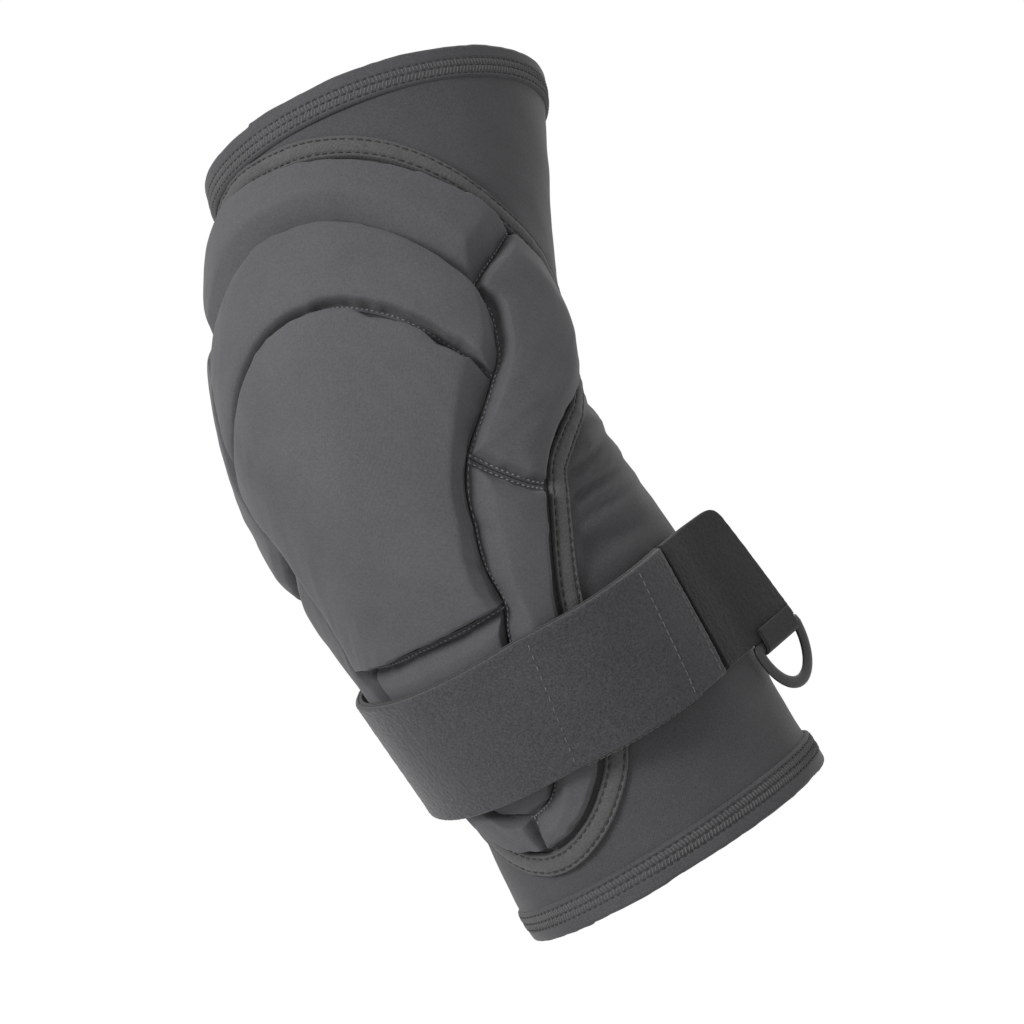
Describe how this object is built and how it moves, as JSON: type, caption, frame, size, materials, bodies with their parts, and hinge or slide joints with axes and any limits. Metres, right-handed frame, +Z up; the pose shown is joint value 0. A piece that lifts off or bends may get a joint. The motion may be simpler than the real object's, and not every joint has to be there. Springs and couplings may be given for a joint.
{
  "type": "elbow pad",
  "caption": "Pull-on padded elbow guard: pre-curved stretch sleeve, sewn foam pads over the elbow, and a hook-and-loop forearm strap with a pull loop.",
  "frame": {"origin": "centre of the arm channel at the elbow, on the arm's centre line", "axes": "+Z up with the upper arm, +X the way the bent forearm goes, -Y the outer side of the pad that faces the viewer"},
  "size_m": [0.1719, 0.1351, 0.2448],
  "materials": {
    "sleeve_fabric": "matt stretch knit, charcoal",
    "pad_fabric": "brushed stretch knit, charcoal",
    "hem_fabric": "coverstitched folded knit",
    "binding_tape": "twin-needle stitched bias tape",
    "foam": "closed-cell foam, matt",
    "strap_webbing": "woven narrow webbing",
    "strap_pile": "brushed loop pile",
    "hook_tape": "moulded hook tape",
    "loop_plastic": "satin moulded plastic"
  },
  "bodies": {
    "upper_arm": {"upper_sleeve": "sleeve_fabric", "upper_hem": "hem_fabric", "elbow_sleeve": "sleeve_fabric", "arch_outer_foam": "foam", "arch_outer_cover": "pad_fabric", "arch_inner_foam": "foam", "arch_inner_cover": "pad_fabric", "binding_top": "binding_tape", "wing_right_foam": "foam", "wing_right_cover": "pad_fabric", "wing_left_foam": "foam", "wing_left_cover": "pad_fabric", "binding_right": "binding_tape", "binding_left": "binding_tape"},
    "forearm": {"forearm_sleeve": "sleeve_fabric", "lower_hem": "hem_fabric", "elbow_cap_foam": "foam", "elbow_cap_cover": "pad_fabric", "rail_right_foam": "foam", "rail_right_cover": "pad_fabric", "rail_left_foam": "foam", "rail_left_cover": "pad_fabric", "tongue_foam": "foam", "tongue_cover": "pad_fabric", "binding_lower": "binding_tape", "strap_band": "strap_webbing", "strap_pile": "strap_pile", "strap_anchor": "strap_webbing"},
    "strap_tail": {"strap_tail": "strap_pile", "hook_patch": "hook_tape", "loop_keeper": "strap_webbing"},
    "pull_loop": {"pull_loop": "loop_plastic"}
  },
  "joints": [
    {"name": "elbow_flex", "type": "hinge", "parent": "upper_arm", "child": "forearm", "pos_m": [-0.00494, -0.0062, -0.00105], "axis": [0.7067, -0.6208, 0.3393], "range_deg": [-20, 47], "deforming": ["elbow_sleeve", "arch_inner_foam", "arch_inner_cover", "wing_right_foam", "wing_right_cover", "wing_left_foam", "wing_left_cover", "binding_right", "binding_left"]},
    {"name": "strap_peel", "type": "hinge", "parent": "forearm", "child": "strap_tail", "pos_m": [0.07623, -0.01829, -0.04832], "axis": [0.494, 0.0935, -0.8644], "range_deg": [-4, 100]},
    {"name": "pull_loop_swing", "type": "hinge", "parent": "strap_tail", "child": "pull_loop", "pos_m": [0.10013, 0.00399, -0.05614], "axis": [0.5171, 0.7677, 0.3786], "range_deg": [-75, 18]}
  ]
}
